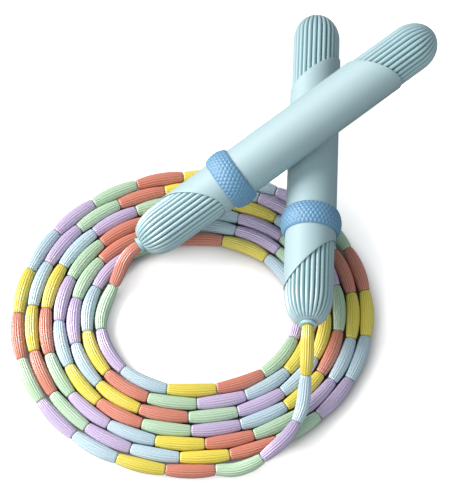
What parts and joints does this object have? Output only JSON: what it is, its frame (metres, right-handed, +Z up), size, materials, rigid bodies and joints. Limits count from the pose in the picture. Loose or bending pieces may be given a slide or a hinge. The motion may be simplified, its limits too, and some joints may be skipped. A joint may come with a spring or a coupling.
{
  "type": "jump rope",
  "caption": "Beaded jump rope lying in a flat coil, with two ribbed swivel handles crossed on top; each handle turns on a ball bearing and has a twist-off end cap.",
  "frame": {"origin": "on the floor under the middle of the two crossed handles' footprint", "axes": "+Z up from the floor, +Y along the lower handle towards its tail, +X to the side the upper handle's tail points to"},
  "size_m": [0.224, 0.2633, 0.0787],
  "materials": {
    "shell": "satin",
    "sleeve": "soft satin",
    "ring": "matte with small raised dimples",
    "core": "plain moulded",
    "collar": "satin",
    "steel": "ground",
    "brass": "pressed",
    "rubber": "matte",
    "cord": "smooth nylon",
    "beads": "satin, ribbed"
  },
  "bodies": {
    "rope": {"rope_coil": "beads", "upper_rope_lead": "beads", "upper_swivel_spindle": "collar", "upper_bearing_inner_race": "steel", "upper_spindle_clip": "steel", "upper_cord_end": "cord", "upper_cord_washer": "steel", "upper_cord_stop": "steel", "lower_rope_lead": "beads", "lower_swivel_spindle": "collar", "lower_bearing_inner_race": "steel", "lower_spindle_clip": "steel", "lower_cord_end": "cord", "lower_cord_washer": "steel", "lower_cord_stop": "steel"},
    "upper_handle": {"upper_nose_shell": "shell", "upper_barrel": "core", "upper_grip_sleeve": "sleeve", "upper_grip_ring": "ring", "upper_bearing_outer_race": "steel", "upper_bearing_lock_ring": "steel"},
    "upper_balls": {"upper_bearing_cage": "brass"},
    "upper_cap": {"upper_end_cap": "shell", "upper_cap_o_ring": "rubber"},
    "lower_handle": {"lower_nose_shell": "shell", "lower_barrel": "core", "lower_grip_sleeve": "sleeve", "lower_grip_ring": "ring", "lower_bearing_outer_race": "steel", "lower_bearing_lock_ring": "steel"},
    "lower_balls": {"lower_bearing_cage": "brass"},
    "lower_cap": {"lower_end_cap": "shell", "lower_cap_o_ring": "rubber"}
  },
  "joints": [
    {"name": "upper_swivel", "type": "hinge", "parent": "rope", "child": "upper_handle", "pos_m": [-0.06684, -0.03749, 0.01933], "axis": [0.8085, 0.5143, 0.286], "continuous": true},
    {"name": "upper_ball_orbit", "type": "hinge", "parent": "rope", "child": "upper_balls", "pos_m": [-0.06684, -0.03749, 0.01933], "axis": [0.8085, 0.5143, 0.286], "continuous": true},
    {"name": "upper_cap_turn", "type": "hinge", "parent": "upper_handle", "child": "upper_cap", "pos_m": [0.03487, 0.02721, 0.05532], "axis": [0.8085, 0.5143, 0.286], "range_deg": [0, 60]},
    {"name": "lower_swivel", "type": "hinge", "parent": "rope", "child": "lower_handle", "pos_m": [0.01144, -0.08227, 0.02854], "axis": [0.045, 0.9941, -0.0986], "continuous": true},
    {"name": "lower_ball_orbit", "type": "hinge", "parent": "rope", "child": "lower_balls", "pos_m": [0.01144, -0.08227, 0.02854], "axis": [0.045, 0.9941, -0.0986], "continuous": true},
    {"name": "lower_cap_turn", "type": "hinge", "parent": "lower_handle", "child": "lower_cap", "pos_m": [0.0171, 0.04279, 0.01614], "axis": [0.045, 0.9941, -0.0986], "range_deg": [0, 60]}
  ],
  "couplings": [
    {"joint": "upper_ball_orbit", "follows": "upper_swivel", "ratio": 0.5983},
    {"joint": "lower_ball_orbit", "follows": "lower_swivel", "ratio": 0.5983}
  ]
}
